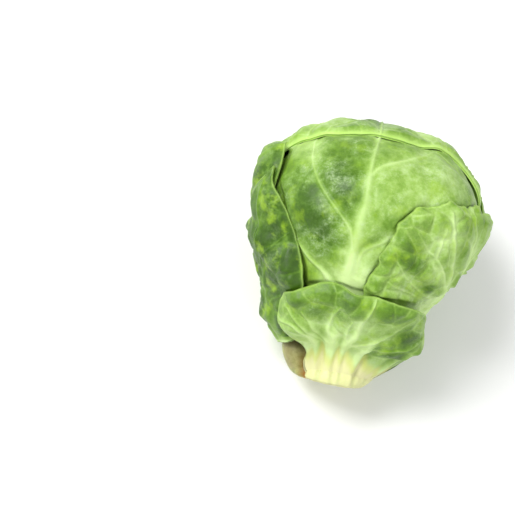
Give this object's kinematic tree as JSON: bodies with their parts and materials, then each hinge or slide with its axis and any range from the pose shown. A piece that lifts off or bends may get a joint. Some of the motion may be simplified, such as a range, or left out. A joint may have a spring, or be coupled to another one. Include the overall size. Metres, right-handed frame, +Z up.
{
  "type": "brussels sprout",
  "caption": "Loose brussels sprout lying on its side: a round head of tightly wrapped leaves on a short cut stem.",
  "frame": {"origin": "on the surface it lies on, below the centre of the bounding box", "axes": "+Z up from the resting surface, +Y level along the sprout from its cut stem towards its crown, +X to its right seen from above with the stem nearest"},
  "size_m": [0.0384, 0.04, 0.0343],
  "materials": {
    "stem": "moist cut stem, cream with a brown scar",
    "inner_leaves": "smooth, pale yellow-green",
    "pale_leaves": "waxy leaf with broad pale veins",
    "outer_leaves": "waxy leaf, mottled green with pale veins",
    "dark_leaves": "waxy blistered leaf, dark green"
  },
  "bodies": {
    "root": {"stem": "stem", "heart": "inner_leaves", "inner_leaf": "inner_leaves", "front_leaf": "pale_leaves", "crown_leaf": "pale_leaves", "right_rear_leaf": "outer_leaves", "left_rear_leaf": "dark_leaves", "left_low_leaf": "outer_leaves", "back_leaf": "outer_leaves", "left_leaf": "dark_leaves", "frilled_leaf": "outer_leaves", "back_low_leaf": "outer_leaves", "collar_leaf": "outer_leaves"}
  },
  "joints": []
}
